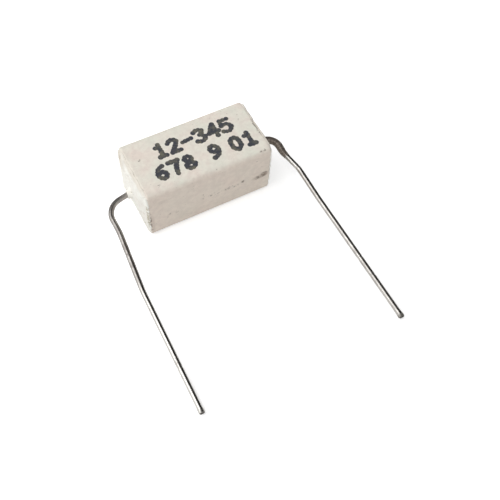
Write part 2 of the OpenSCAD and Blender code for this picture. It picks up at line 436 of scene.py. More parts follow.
# %% Weathered surface, in Geometry Nodes
def weathered_tree():
    tree, put, given = new_tree("weathered surface", {
        "Swell Height": 0.02, "Swell Size": 4.0, "Grain Height": 0.006, "Grain Size": 0.5,
        "Pores per mm2": 0.2, "Pore Radius": 0.15, "Pore Depth": 0.06, "Seed": 1})
    place = put("GeometryNodeInputPosition")
    # Noise takes its seed as a place in a fourth dimension, so it is spread out first
    seed = put("ShaderNodeMath", [given["Seed"], 3.7], operation="MULTIPLY")
    heights = []
    for label, detail in (("Swell", 2.0), ("Grain", 4.0)):
        scale = put("ShaderNodeMath", [1.0, given[label + " Size"]], operation="DIVIDE")
        lump = put("ShaderNodeTexNoise", {"Vector": place, "W": seed, "Scale": scale,
                                          "Detail": detail}, noise_dimensions="4D")
        centred = put("ShaderNodeMath", [lump, 0.5], operation="SUBTRACT")
        heights.append(put("ShaderNodeMath", [centred, given[label + " Height"]],
                           operation="MULTIPLY"))

    centres = put("GeometryNodeDistributePointsOnFaces", {
        "Mesh": given["Geometry"], "Density": given["Pores per mm2"], "Seed": given["Seed"]})
    size = put("FunctionNodeRandomValue", {"Min": 0.4, "Max": 1.0, "Seed": given["Seed"]},
               data_type="FLOAT")
    nearest = put("GeometryNodeSampleNearest", {"Geometry": centres}, domain="POINT")
    centre = put("GeometryNodeSampleIndex", {"Geometry": centres, "Value": place, "Index": nearest},
                 data_type="FLOAT_VECTOR", domain="POINT")
    share = put("GeometryNodeSampleIndex", {"Geometry": centres, "Value": size, "Index": nearest},
                data_type="FLOAT", domain="POINT")
    away = put("ShaderNodeVectorMath", [place, centre], operation="DISTANCE")
    radius = put("ShaderNodeMath", [share, given["Pore Radius"]], operation="MULTIPLY")
    pore = put("ShaderNodeMapRange", [away, 0.0, radius, 1.0, 0.0],
               interpolation_type="SMOOTHERSTEP")
    pore = put("ShaderNodeMath", [pore, share], operation="MULTIPLY")
    sunk = put("ShaderNodeMath", [pore, given["Pore Depth"]], operation="MULTIPLY")

    rise = put("ShaderNodeMath", heights, operation="ADD")
    rise = put("ShaderNodeMath", [rise, sunk], operation="SUBTRACT")
    skin = put("GeometryNodeInputNamedAttribute", {"Name": "skin"}, data_type="FLOAT")
    rise = put("ShaderNodeMath", [rise, skin], operation="MULTIPLY")
    push = put("ShaderNodeVectorMath", {0: put("GeometryNodeInputNormal"), "Scale": rise},
               operation="SCALE")
    marked = put("GeometryNodeStoreNamedAttribute", {
        "Geometry": given["Geometry"], "Name": "pore", "Value": pore},
        data_type="FLOAT", domain="POINT")
    moved = put("GeometryNodeSetPosition", {"Geometry": marked, "Offset": push})
    return finish_tree(tree, given, moved)


WEATHERED = weathered_tree()


# %% [markdown]
# Dirt sits where hands and benches leave it. The marks that the eye would look for,
# such as the smudge at one end of the front face, are listed as soft patches, and
# noise breaks them up. Some patches are painted shade: they darken the right end's top
# edge and its front edge, which turn away from the lamp, and the seam at the left front
# edge, partly as brown stain and partly as the shade of its recesses. A patch gives each
# point of the mesh a strength from 0 to 1, which the material reads as an attribute.

# %% Grime and painted shade, in listed patches
# Each entry is the middle of a patch, its three half widths and its strength
CASE_GRIME_AND_SHADE = [
    ((8.55, -5.0, 4.25), (0.85, 0.8, 0.7), 0.85),
    ((7.7, -5.0, 3.9), (1.3, 0.6, 0.6), 0.62),
    ((5.1, -5.0, 4.4), (0.45, 0.5, 0.35), 0.85),
    ((3.3, -5.0, 4.2), (2.2, 0.5, 0.5), 0.6),
    ((0.3, -5.0, 4.2), (1.2, 0.5, 0.5), 0.45),
    ((-1.4, -5.0, 4.6), (0.7, 0.5, 1.0), 0.45),
    ((0.56, -5.0, 5.6), (0.4, 0.5, 0.3), 0.6),
    ((-5.9, -5.0, 3.7), (1.5, 0.5, 0.6), 0.4),
    ((8.4, -4.75, 9.35), (1.0, 0.4, 0.2), 0.8),
    # Painted shade: the next two darken the right end's top edge and its front edge, which turn away from
    # the lamp
    ((9.35, -0.7, 9.55), (0.4, 2.6, 0.35), 0.75),
    ((9.45, -4.7, 5.2), (0.3, 0.6, 4.6), 0.65),
    ((-7.9, 1.2, 9.6), (0.35, 0.35, 0.3), 0.75),
    ((-7.2, -3.9, 9.6), (0.4, 0.4, 0.3), 0.5),
    ((7.5, 1.8, 9.6), (0.4, 0.5, 0.3), 0.4),
    # The next two are partly brown stain and partly painted shade in the recesses of the seam at the left
    # front edge
    ((-9.4, -4.9, 3.9), (0.3, 0.6, 4.4), 0.75),
    ((-9.0, -5.0, 2.2), (0.9, 0.5, 1.6), 0.3),
]
# Softer brown stains under the smudge and on the front face, with painted shade along the right end's top
# edge and, partly, at the seam on the left front edge
CASE_SMEAR_AND_SHADE = [
    ((8.5, -5.0, 4.15), (1.0, 0.8, 0.75), 1.0),
    ((7.8, -5.0, 3.9), (1.6, 0.5, 0.65), 0.6),
    ((-7.5, -5.0, 7.3), (1.0, 0.6, 0.6), 0.25),
    # Painted shade along the right end's top edge
    ((9.5, 0.4, 9.45), (0.2, 5.4, 0.3), 0.8),
    # Partly brown stain and partly painted shade at the seam on the left front edge
    ((-9.2, -5.0, 3.0), (0.55, 0.5, 3.4), 0.3),
]
SEAL_GRIME_AND_SHADE = [
    ((-9.9, 1.5, 6.4), (0.6, 0.5, 0.45), 0.7),
    ((-9.8, -1.5, 8.4), (0.6, 0.4, 0.4), 0.6),
    ((-9.9, -0.5, 6.3), (0.6, 0.3, 0.35), 0.6),
    ((-9.9, -3.5, 4.0), (0.6, 0.6, 0.6), 0.45),
    # Painted shade of the lumps and recesses along the seam at the left front edge
    ((-9.6, -4.7, 4.6), (0.35, 0.5, 4.6), 0.85),
]
# Patches where the cement takes a warmer, darker tint, towards the top of each end
SEAL_WARM_PATCHES = [
    ((-9.8, 4.4, 8.2), (1.2, 2.6, 3.0), 1.0),
    ((-9.7, -0.5, 9.6), (1.0, 6.5, 1.1), 0.9),
    ((9.7, -0.5, 9.4), (1.0, 6.5, 1.6), 1.0),
]
PATCH_EDGE = 1.8
# How much grime and painted shade add to the noise, and where in the noise specks begin and are full
SPECK_GAIN, SPECK_FROM, SPECK_TO = 0.3, 0.66, 0.8


def patch_strength_at(mesh, patches):
    """How strongly the patches cover each point of a mesh: the strongest patch that reaches it."""
    co, _ = points_of(mesh)
    soiled = np.zeros(len(co))
    for middle, half_widths, strength in patches:
        away = np.linalg.norm((co - middle) / half_widths, axis=1)
        soiled = np.maximum(soiled, strength * np.clip(PATCH_EDGE * (1 - away), 0, 1))
    return soiled


def specks(put, place, size):
    """Specks that are rare on clean skin and close together in the patches of dirt and of painted shade.
    """
    crumbs = put("ShaderNodeTexNoise", {
        "Vector": place, "Scale": 1 / (size * MM), "Detail": 4.0, "Roughness": 0.65})
    grime_and_shade = put("ShaderNodeAttribute", attribute_name="grime_and_shade").outputs["Fac"]
    dense = put("ShaderNodeMath", [grime_and_shade, SPECK_GAIN, crumbs], operation="MULTIPLY_ADD")
    return put("ShaderNodeMapRange", [dense, SPECK_FROM, SPECK_TO, 0.0, 1.0])


# The count includes the patches of painted shade
print("patches of dirt:", len(CASE_GRIME_AND_SHADE) + len(CASE_SMEAR_AND_SHADE) + len(SEAL_GRIME_AND_SHADE))


# %% [markdown]
# Steatite ceramic is pressed from powder and fired without glaze. That gives the eye a
# chalky, warm white skin with no shine, faint pink, yellow and grey clouds that the
# kiln leaves, and dirt wherever the skin is broken. Noise makes the clouds at 3 mm and
# a mottle at 0.8 mm. The pressed grain of real steatite is too fine to show in the
# picture, so it is drawn at 0.3 mm.

# %% Material: unglazed steatite, pressed and fired
def fired_steatite():
    material = bpy.data.materials.new("unglazed steatite, pressed and fired")
    put = emptied(material)
    place = put("ShaderNodeTexCoord").outputs["Object"]
    clouds = put("ShaderNodeTexNoise", {
        "Vector": place, "Scale": 1 / (3.2 * MM), "Detail": 3.0, "Roughness": 0.55})
    tint = put("ShaderNodeValToRGB", [clouds],
               stops={0.34: "#e6dacf", 0.66: "#e0dfd2", 0.5: "#e6e0d4"})

    # The front face is given a warmer tint
    y = put("ShaderNodeSeparateXYZ", [place]).outputs["Y"]
    warmer_front = put("ShaderNodeMapRange", [y, -4.6 * MM, -5 * MM, 0.0, 0.75])
    warmer = put("ShaderNodeMix", {"Factor": warmer_front, "A": tint, "B": colour("#e3d5c8")},
                 data_type="RGBA")
    mottle = put("ShaderNodeTexNoise", {
        "Vector": place, "Scale": 1 / (0.8 * MM), "Detail": 5.0, "Roughness": 0.65})
    shade = put("ShaderNodeMapRange", [mottle, 0.38, 0.62, 0.94, 1.03])
    body = put("ShaderNodeVectorMath", {0: warmer, "Scale": shade}, operation="SCALE")

    # Dirt in the pores, and soft stains and specks, which are dirt and, along the right end's edges and
    # the left front seam, painted shade
    pore = put("ShaderNodeAttribute", attribute_name="pore").outputs["Fac"]
    smear_and_shade = put("ShaderNodeAttribute", attribute_name="smear_and_shade").outputs["Fac"]
    broken = put("ShaderNodeMath", [smear_and_shade, mottle], operation="MULTIPLY")
    speck = specks(put, place, 0.35)
    layers = {"#8d8378": put("ShaderNodeMapRange", [pore, 0.25, 0.8, 0.0, 0.6]),
              "#8c7869": put("ShaderNodeMapRange", [broken, 0.05, 0.62, 0.0, 0.85]),
              "#7a6e63": put("ShaderNodeMath", [speck, 0.85], operation="MULTIPLY")}
    for hex_code, cover in layers.items():
        body = put("ShaderNodeMix", {"Factor": cover, "A": body, "B": colour(hex_code)},
                   data_type="RGBA")

    grain = put("ShaderNodeTexNoise", {
        "Vector": place, "Scale": 1 / (0.3 * MM), "Detail": 4.0, "Roughness": 0.6})
    height = put("ShaderNodeMath", [grain, speck], operation="SUBTRACT")
    relief = put("ShaderNodeBump", {"Strength": 0.5, "Distance": 0.02 * MM, "Height": height})
    skin = put("ShaderNodeBsdfPrincipled", {
        "Base Color": body, "Roughness": 0.82, "IOR": 1.6, "Normal": relief})
    return surfaced(material, skin)


STEATITE = fired_steatite()


# %% [markdown]
# The case is a tube with a round bore. Its rings go out over the outside, round the
# end, back through the bore and round the other end, so the wall closes on itself.

# %% Ceramic case
def case_rings():
    bore = AROUND * BORE_R
    mouth = AROUND * (BORE_R + MOUTH_CHAMFER)
    flat = shrunk(END_ROUNDING)
    half = [ring(x, OUTLINE) for x in np.arange(0, CASE_END_X - END_ROUNDING, RING_STEP)]
    for a in np.radians([0, 30, 60, 90]):
        half.append(ring(CASE_END_X - END_ROUNDING * (1 - math.sin(a)),
                         shrunk(END_ROUNDING * (1 - math.cos(a)))))
    half += [ring(CASE_END_X, flat + t * (mouth - flat)) for t in (0.33, 0.67, 1.0)]
    half += [ring(x, bore) for x in np.linspace(CASE_END_X - MOUTH_CHAMFER, 0, 6)]
    mirrored = [r * [-1, 1, 1] for r in half[-2:0:-1]]
    return half + mirrored


def make_case():
    mesh = mesh_from_rings("case blank", case_rings())
    _, from_axis = points_of(mesh)
    mark_points(mesh, "skin", from_axis > BORE_R + 2 * MOUTH_CHAMFER)
    mark_points(mesh, "grime_and_shade", patch_strength_at(mesh, CASE_GRIME_AND_SHADE))
    mark_points(mesh, "smear_and_shade", patch_strength_at(mesh, CASE_SMEAR_AND_SHADE))
    case = grown("case", mesh, WEATHERED, {
        "Swell Height": 0.05, "Swell Size": 3.5, "Grain Height": 0.014, "Grain Size": 0.5,
        "Pores per mm2": 0.12, "Pore Radius": 0.22, "Pore Depth": 0.05, "Seed": 4,
        "Material": STEATITE})
    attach(case, "root")
    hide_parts("ceramic_case")


make_case()


# %% [markdown]
# The cement is a paste of silica powder that is poured and left to dry in air. That
# gives the eye the whitest and roughest surface of the part, lumpy and crumbly, with
# beige pores and specks. It is duller than the ceramic, and warmer and darker in
# patches towards the top of each end. Its grains are finer than the picture can show
# and are drawn at 0.25 mm.

# %% Material: silica cement, poured and air-dried
def dried_cement():
    material = bpy.data.materials.new("silica cement, poured and air-dried")
    put = emptied(material)
    place = put("ShaderNodeTexCoord").outputs["Object"]
    clouds = put("ShaderNodeTexNoise", {
        "Vector": place, "Scale": 1 / (1.8 * MM), "Detail": 4.0, "Roughness": 0.6})
    body = put("ShaderNodeValToRGB", [clouds], stops={0.36: "#efebe3", 0.6: "#f6f5ee"})
    warm_patch = put("ShaderNodeAttribute", attribute_name="warm_patch").outputs["Fac"]
    pore = put("ShaderNodeAttribute", attribute_name="pore").outputs["Fac"]
    # Specks are dirt, and painted shade along the seam at the left front edge
    speck = specks(put, place, 0.4)
    layers = {"#e0d9cd": warm_patch,
              "#aaa58f": put("ShaderNodeMapRange", [pore, 0.3, 0.9, 0.0, 0.55]),
              "#a09578": put("ShaderNodeMath", [speck, 0.75], operation="MULTIPLY")}
    for hex_code, cover in layers.items():
        body = put("ShaderNodeMix", {"Factor": cover, "A": body, "B": colour(hex_code)},
                   data_type="RGBA")

    lumps = put("ShaderNodeTexNoise", {
        "Vector": place, "Scale": 1 / (0.8 * MM), "Detail": 3.0, "Roughness": 0.6})
    grain = put("ShaderNodeTexNoise", {
        "Vector": place, "Scale": 1 / (0.25 * MM), "Detail": 5.0, "Roughness": 0.65})
    relief = put("ShaderNodeBump", {"Strength": 0.8, "Distance": 0.18 * MM, "Height": lumps})
    relief = put("ShaderNodeBump", {
        "Strength": 0.8, "Distance": 0.06 * MM, "Height": grain, "Normal": relief})
    skin = put("ShaderNodeBsdfPrincipled", {
        "Base Color": body, "Roughness": 0.9, "IOR": 1.5, "Normal": relief})
    return surfaced(material, skin)


SILICA_CEMENT = dried_cement()


# %% [markdown]
# Sealing cement is poured wet and dries rough. It stands a little proud of the tube's
# ends, its rim is ragged at the front, it sinks as it dries, and it creeps out along
# the lead in a small cone. The same rings make it: a round rim, a low dome and a
# fillet outside, and inside the hollow that the winding, the caps and the leads fill.

# %% Cement filling
# How deep and how wide the bites in the rim are, and how far its corners stand in
RAGGED_DEPTH, RAGGED_SIZE, CORNER_INSET = 0.3, 0.42, 0.28
BITE_LEAST, BITE_MOST = -0.6, 0.9
# The share of its height that the seal loses at the lower front, how far down that
# grows, and the ring round the lead in which it fades in
SETTLED, SETTLED_REACH = 0.45, 5.0
SETTLED_FROM, SETTLED_FADE = 1.0, 1.5
# The seal's foot in the tube, its dome, and the fillet where it creeps up the lead
FOOT_INSET = 0.6
TUCK_IN, TUCK_DOWN = 0.12, 0.03
DOME_RINGS, ARC_RINGS = 34, 9
FILLET_FROM = 28
CREEP_LIP = 0.04
CEMENT_GAP = 0.08
FLAT_UNDERSIDE = 0.7


def ragged_rim(side):
    """How far the cement's rim stands in from the tube's outline, all round one end."""
    places = [Vector((5.0 * side, y / RAGGED_SIZE, z / RAGGED_SIZE)) for y, z in OUTLINE]
    bites = np.array([noise.noise(p) + 0.5 * noise.noise(p * 2.3) for p in places])
    crumbly = np.clip(-OUTLINE_NORMAL[:, 0], 0.25, 1)
    corner = 2 * abs(OUTLINE_NORMAL[:, 0] * OUTLINE_NORMAL[:, 1])
    bites = np.clip(bites, BITE_LEAST, BITE_MOST)
    return SEAL_INSET + CORNER_INSET * corner + RAGGED_DEPTH * crumbly * bites


def settled(rings):
    """The seal with its lower front side sunk, as the cement shrank when it dried."""
    y, z = rings[..., 1], rings[..., 2] - AXIS_Z
    low = np.clip(-(y + z) / SETTLED_REACH, 0, 1)
    away = np.clip((np.hypot(y, z) - SETTLED_FROM) / SETTLED_FADE, 0, 1)
    proud = np.maximum(rings[..., 0] - CASE_END_X, 0)
    rings[..., 0] -= SETTLED * low * away * proud
    return rings


def cement_end(side):
    """Rings from the rim of one seal up to the tip of the creep, then in to the winding."""
    rim = ragged_rim(side)
    fillet_r = LEAD_R + CREEP_T + CREEP_LEN
    rim_width = SEAL_RIM - SEAL_INSET
    rings = [ring(CASE_END_X, shrunk(FOOT_INSET)), ring(CASE_END_X - TUCK_IN, shrunk(rim + TUCK_DOWN))]
    for a in np.radians(np.linspace(0, 90, ARC_RINGS)):
        rings.append(ring(CASE_END_X + SEAL_T * math.sin(a), shrunk(rim + rim_width * (1 - math.cos(a)))))
    shoulder = shrunk(rim + rim_width)
    arc = np.radians(np.linspace(FILLET_FROM, 90, ARC_RINGS))
    foot = AROUND * (fillet_r - CREEP_LEN * math.sin(arc[0]))
    for s in np.linspace(0, 1, DOME_RINGS)[1:]:
        rings.append(ring(CASE_END_X + SEAL_T + SEAL_DOME * s * (2 - s),
                          shoulder + s * (foot - shoulder)))
    for a in arc[1:]:
        rings.append(ring(SEAL_PEAK_X + CREEP_LEN - CREEP_SINK - CREEP_LEN * math.cos(a),
                          AROUND * (fillet_r - CREEP_LEN * math.sin(a))))
    rings.append(ring(CREEP_END_X - CREEP_LIP, AROUND * (LEAD_R + CREEP_T)))
    rings.append(ring(CREEP_END_X, AROUND * (LEAD_R + 0.7 * CREEP_T)))
    skirt_x = CORE_LEN / 2 - CAP_SKIRT
    inner = [(CREEP_END_X, LEAD_R), (SEAL_PEAK_X, LEAD_R), (CAP_FACE_X + WELD_LEN, LEAD_R),
             (CAP_FACE_X, WELD_R), (CAP_FACE_X, CAP_OUTER_R - CAP_CORNER_R),
             (CAP_FACE_X - CAP_CORNER_R, CAP_OUTER_R), (skirt_x, CAP_OUTER_R),
             (skirt_x, WINDING_R + CEMENT_GAP)]
    rings += [ring(x, AROUND * r) for x, r in inner]
    return [r * [side, 1, 1] for r in settled(np.array(rings))]


def make_cement():
    mouth_x, mouth_r = CASE_END_X - MOUTH_CHAMFER, BORE_R + MOUTH_CHAMFER
    plug = [(x, BORE_R) for x in np.linspace(-mouth_x, mouth_x, 5)]
    outside = [(-CASE_END_X, mouth_r), *plug, (CASE_END_X, mouth_r)]
    rings = [ring(x, AROUND * r) for x, r in outside] + cement_end(1) + cement_end(-1)[::-1]
    mesh = mesh_from_rings("cement blank", rings)
    co, from_axis = points_of(mesh)
    outer = (abs(co[:, 0]) > CASE_END_X - 0.01) & (from_axis > LEAD_R + 0.5 * CREEP_T)
    # The lumps fade out towards the underside, which stays flat on the table
    mark_points(mesh, "skin", outer * np.clip(co[:, 2] / FLAT_UNDERSIDE, 0, 1))
    mark_points(mesh, "grime_and_shade", patch_strength_at(mesh, SEAL_GRIME_AND_SHADE))
    mark_points(mesh, "warm_patch", patch_strength_at(mesh, SEAL_WARM_PATCHES))
    cement = grown("cement", mesh, WEATHERED, {
        "Swell Height": 0.22, "Swell Size": 1.1, "Grain Height": 0.12, "Grain Size": 0.45,
        "Pores per mm2": 1.3, "Pore Radius": 0.26, "Pore Depth": 0.12, "Seed": 11,
        "Material": SILICA_CEMENT})
    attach(cement, "root")
    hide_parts("cement_filling")


make_cement()


# %% [markdown]
# A lead is one wire that has been bent by hand: it leaves the cement straight, turns
# a right angle and runs out in legs that are nearly straight. Its route is worked
# out from the corners of the legs, with an arc in each. The route is flat, and then
# tips down about the body's axis until the end of the wire meets the table.

# %% Routes of the leads
# Each corner is its place in the flat route and the radius of the arc that rounds it
LEFT_LEAD = {"corners": [(10.6, 0.0, 3.0), (14.2, -0.74, 2.5), (14.04, -4.9, 6.0),
                         (14.72, -14.2, 18.0)], "tip": (14.75, -32.5)}
RIGHT_LEAD = {"corners": [(12.81, 0.0, 1.9), (12.87, -3.0, 2.5), (13.71, -6.4, 2.5),
                          (13.96, -12.0, 2.5)], "tip": (15.48, -32.7)}
ARC_STEP = math.radians(3)


def lead_route(side, corners, tip):
    """Points along the wire's centre line in millimetres, from the weld to the tip."""
    stops = [Vector((CAP_FACE_X, 0)), *(Vector((x, y)) for x, y, _ in corners), Vector(tip)]
    points = [stops[0]]
    for before, corner, after, (_, _, radius) in zip(stops, stops[1:], stops[2:], corners):
        way_in, way_out = (corner - before).normalized(), (after - corner).normalized()
        turn = way_in.angle_signed(way_out)
        start = corner - way_in * radius * math.tan(abs(turn) / 2)
        centre = start + radius * Vector((way_in.y, -way_in.x)) * math.copysign(1, turn)
        steps = max(2, round(abs(turn) / ARC_STEP))
        for i in range(steps + 1):
            spoke = start - centre
            spoke.rotate(Matrix.Rotation(-turn * i / steps, 2))
            points.append(centre + spoke)
    points.append(stops[-1])
    reach = -tip[1]
    drop = math.asin(AXIS_Z / math.hypot(reach, LEAD_R)) - math.atan(LEAD_R / reach)
    return [Vector((side * p.x, p.y * math.cos(drop), AXIS_Z + p.y * math.sin(drop))) for p in points]


for lead_name, side, lead in (("left", -1, LEFT_LEAD), ("right", 1, RIGHT_LEAD)):
    route = lead_route(side, **lead)
    print(lead_name, "route:", len(route), "points, ends at", [round(v, 2) for v in route[-1]])


# %% [markdown]
# The wire itself is a circle swept along its route, which is what Curve to Mesh does.
# The rule for its thickness is a sum of plain terms in the length along the wire: a
# weld bead at the start, a crust that thins out, a cutter's pinch and flare at the tip.
# Crust, dullness, dust and cut are kept as attributes with the length and the angle
# around. With them the material runs its drawing marks along the wire, turns the
# crust dark, and dulls the tin over set stretches of each lead, which is partly
# tarnish and partly painted dimming of its reflections; where the tin is left bright,
# it gives a painted glint.

# %% Drawn wire, in Geometry Nodes
FLARE_FROM, FLARE_TO = 0.2, 1.2
TIP_LEAST = 0.6


# Start, Full and End are lengths along the wire from its weld, and Cut Length and Tip
# Length are measured back from the tip
def wire_tree():
    tree, put, given = new_tree("drawn wire", {
        "Wire Radius": LEAD_R, "Ring Spacing": 0.08, "Weld Radius": WELD_R,
        "Weld Length": WELD_LEN, "Crust Thickness": 0.0, "Crust Start": 0.0, "Crust Full": 1.0,
        "Crust End": 2.0, "Crust Lumps": 0.06, "Tip Length": 0.22, "Ripple": 0.014,
        "Pinch": 0.5, "Flare": 0.12, "Cut Length": 0.15, "Dull Root": 1.0, "Dull Full": 8.0,
        "Dull End": 20.0, "Dull Rest": 0.1, "Dust": 0.0, "Dust Start": 0.0, "Dust End": 1.0,
        "Sides": 36, "Seed": 1, "Pinch Axis": (0.0, 0.0, 1.0)})
    route = put("GeometryNodeResampleCurve", {
        "Curve": given["Geometry"], "Length": given["Ring Spacing"]}, mode="LENGTH")
    along = put("GeometryNodeSplineParameter").outputs["Length"]
    total = put("GeometryNodeSplineLength").outputs["Length"]
    left_over = put("ShaderNodeMath", [total, along], operation="SUBTRACT")

    # What changes along the wire
    bead = put("ShaderNodeMapRange", [along, 0.0, given["Weld Length"], given["Weld Radius"],
                                      given["Wire Radius"]])
    begun = put("ShaderNodeMath", [along, given["Crust Start"]], operation="GREATER_THAN")
    fading = put("ShaderNodeMapRange", [along, given["Crust Full"], given["Crust End"], 1.0, 0.0],
                 interpolation_type="SMOOTHSTEP")
    crust = put("ShaderNodeMath", [begun, fading], operation="MULTIPLY")
    dull = put("ShaderNodeMapRange", [along, given["Dull Full"], given["Dull End"],
                                      given["Dull Root"], given["Dull Rest"]],
               interpolation_type="SMOOTHSTEP")
    dust = put("ShaderNodeMapRange", [along, given["Dust Start"], given["Dust End"],
                                      given["Dust"], 0.0])
    cut_starts = put("ShaderNodeMath", [given["Cut Length"], 0.75], operation="MULTIPLY")
    cut = put("ShaderNodeMapRange", [left_over, cut_starts, given["Cut Length"], 1.0, 0.0])

    # The radius: bead and crust, then rounded off and flared at the tip
    thick = put("ShaderNodeMath", [crust, given["Crust Thickness"], bead], operation="MULTIPLY_ADD")
    flat = put("ShaderNodeMapRange", [left_over, 0.0, given["Tip Length"], 1.0, 0.0])
    flat = put("ShaderNodeMath", [flat, flat], operation="MULTIPLY")
    arch = put("ShaderNodeMath", [1.0, flat], operation="SUBTRACT")
    arch = put("ShaderNodeMath", [arch], operation="SQRT")
    arch = put("ShaderNodeMath", [arch, TIP_LEAST], operation="MAXIMUM")
    flare = put("ShaderNodeMapRange", [left_over, FLARE_FROM, FLARE_TO, given["Flare"], 0.0],
                interpolation_type="SMOOTHSTEP")
    arch = put("ShaderNodeMath", [arch, flare, arch], operation="MULTIPLY_ADD")
    nicked = put("ShaderNodeMath", [thick, put("GeometryNodeInputRadius")], operation="MULTIPLY")
    radius = put("ShaderNodeMath", [nicked, arch], operation="MULTIPLY")

    tagged = route
    for name, value in {"along": along, "crust": crust, "dull": dull, "dust": dust, "cut": cut,
                        "left over": left_over}.items():
        tagged = put("GeometryNodeStoreNamedAttribute", {
            "Geometry": tagged, "Name": name, "Value": value}, data_type="FLOAT", domain="POINT")
    circle = put("GeometryNodeCurvePrimitiveCircle", {"Resolution": given["Sides"], "Radius": 1.0})
    profile = put("GeometryNodeStoreNamedAttribute", {
        "Geometry": circle, "Name": "around", "Value": put("GeometryNodeSplineParameter")},
        data_type="FLOAT", domain="POINT")
    wire = put("GeometryNodeCurveToMesh", {
        "Curve": tagged, "Profile Curve": profile, "Scale": radius, "Fill Caps": True})

    # Ripples and crust lumps push the skin out, and the cutter's jaws squeeze the tip
    place, normal = put("GeometryNodeInputPosition"), put("GeometryNodeInputNormal")
    seed = put("ShaderNodeMath", [given["Seed"], 2.3], operation="MULTIPLY")
    crust_here, left_here = (
        put("GeometryNodeInputNamedAttribute", {"Name": name}, data_type="FLOAT")
        for name in ("crust", "left over"))
    lumpy = put("ShaderNodeMath", [given["Crust Lumps"], crust_here], operation="MULTIPLY")
    bumps = []
    for size, height in ((0.9, given["Ripple"]), (0.45, lumpy)):
        lump = put("ShaderNodeTexNoise", {"Vector": place, "W": seed, "Scale": 1 / size,
                                          "Detail": 3.0}, noise_dimensions="4D")
        centred = put("ShaderNodeMath", [lump, 0.5], operation="SUBTRACT")
        bumps.append(put("ShaderNodeMath", [centred, height], operation="MULTIPLY"))
    bump = put("ShaderNodeMath", bumps, operation="ADD")
    push = put("ShaderNodeVectorMath", {0: normal, "Scale": bump}, operation="SCALE")
    pinch_ends = put("ShaderNodeMath", [given["Tip Length"], 3.0], operation="MULTIPLY")
    near_tip = put("ShaderNodeMapRange", [left_here, 0.0, pinch_ends, 1.0, 0.0])
    sideways = put("ShaderNodeVectorMath", [normal, given["Pinch Axis"]], operation="DOT_PRODUCT")
    squeeze = put("ShaderNodeMath", [sideways, near_tip], operation="MULTIPLY")
    depth = put("ShaderNodeMath", [given["Pinch"], given["Wire Radius"]], operation="MULTIPLY")
    inwards = put("ShaderNodeMath", [depth, -1.0], operation="MULTIPLY")
    squeeze = put("ShaderNodeMath", [squeeze, inwards], operation="MULTIPLY")
    pinch = put("ShaderNodeVectorMath", {0: given["Pinch Axis"], "Scale": squeeze}, operation="SCALE")
    offset = put("ShaderNodeVectorMath", [push, pinch], operation="ADD")
    moved = put("GeometryNodeSetPosition", {"Geometry": wire, "Offset": offset})
    return finish_tree(tree, given, moved)


def polyline(name, strokes, widths=None):
    """A curve object's data with one straight-legged spline for each stroke."""
    curve = bpy.data.curves.new(name, "CURVE")
    curve.dimensions = "3D"
    for k, stroke in enumerate(strokes):
        spline = curve.splines.new("POLY")
        spline.points.add(len(stroke) - 1)
        for i, p in enumerate(stroke):
            spline.points[i].co = (*p, 1.0)
            spline.points[i].radius = widths[k][i] if widths else 1.0
    return curve


WIRE = wire_tree()


# %% [markdown]
# The leads are copper wire, drawn through a die and dipped in tin. That gives the eye
# a bright, slightly grey metal with fine lines along its length, which goes blotchy
# where it was heated. Over set stretches the tin is dulled, partly as tarnish and
# partly as painted dimming of its reflections. The noise for the lines is read on the
# wire's own skin, from the angle around and the length along, with the length
# squeezed, so it stretches along the wire. Real die lines are far finer and are drawn
# coarser here, so that they show. Dust, crust and the cut end are mixed over the tin.

# %% Material: tinned copper wire, drawn
LINE_STRETCH = 0.06


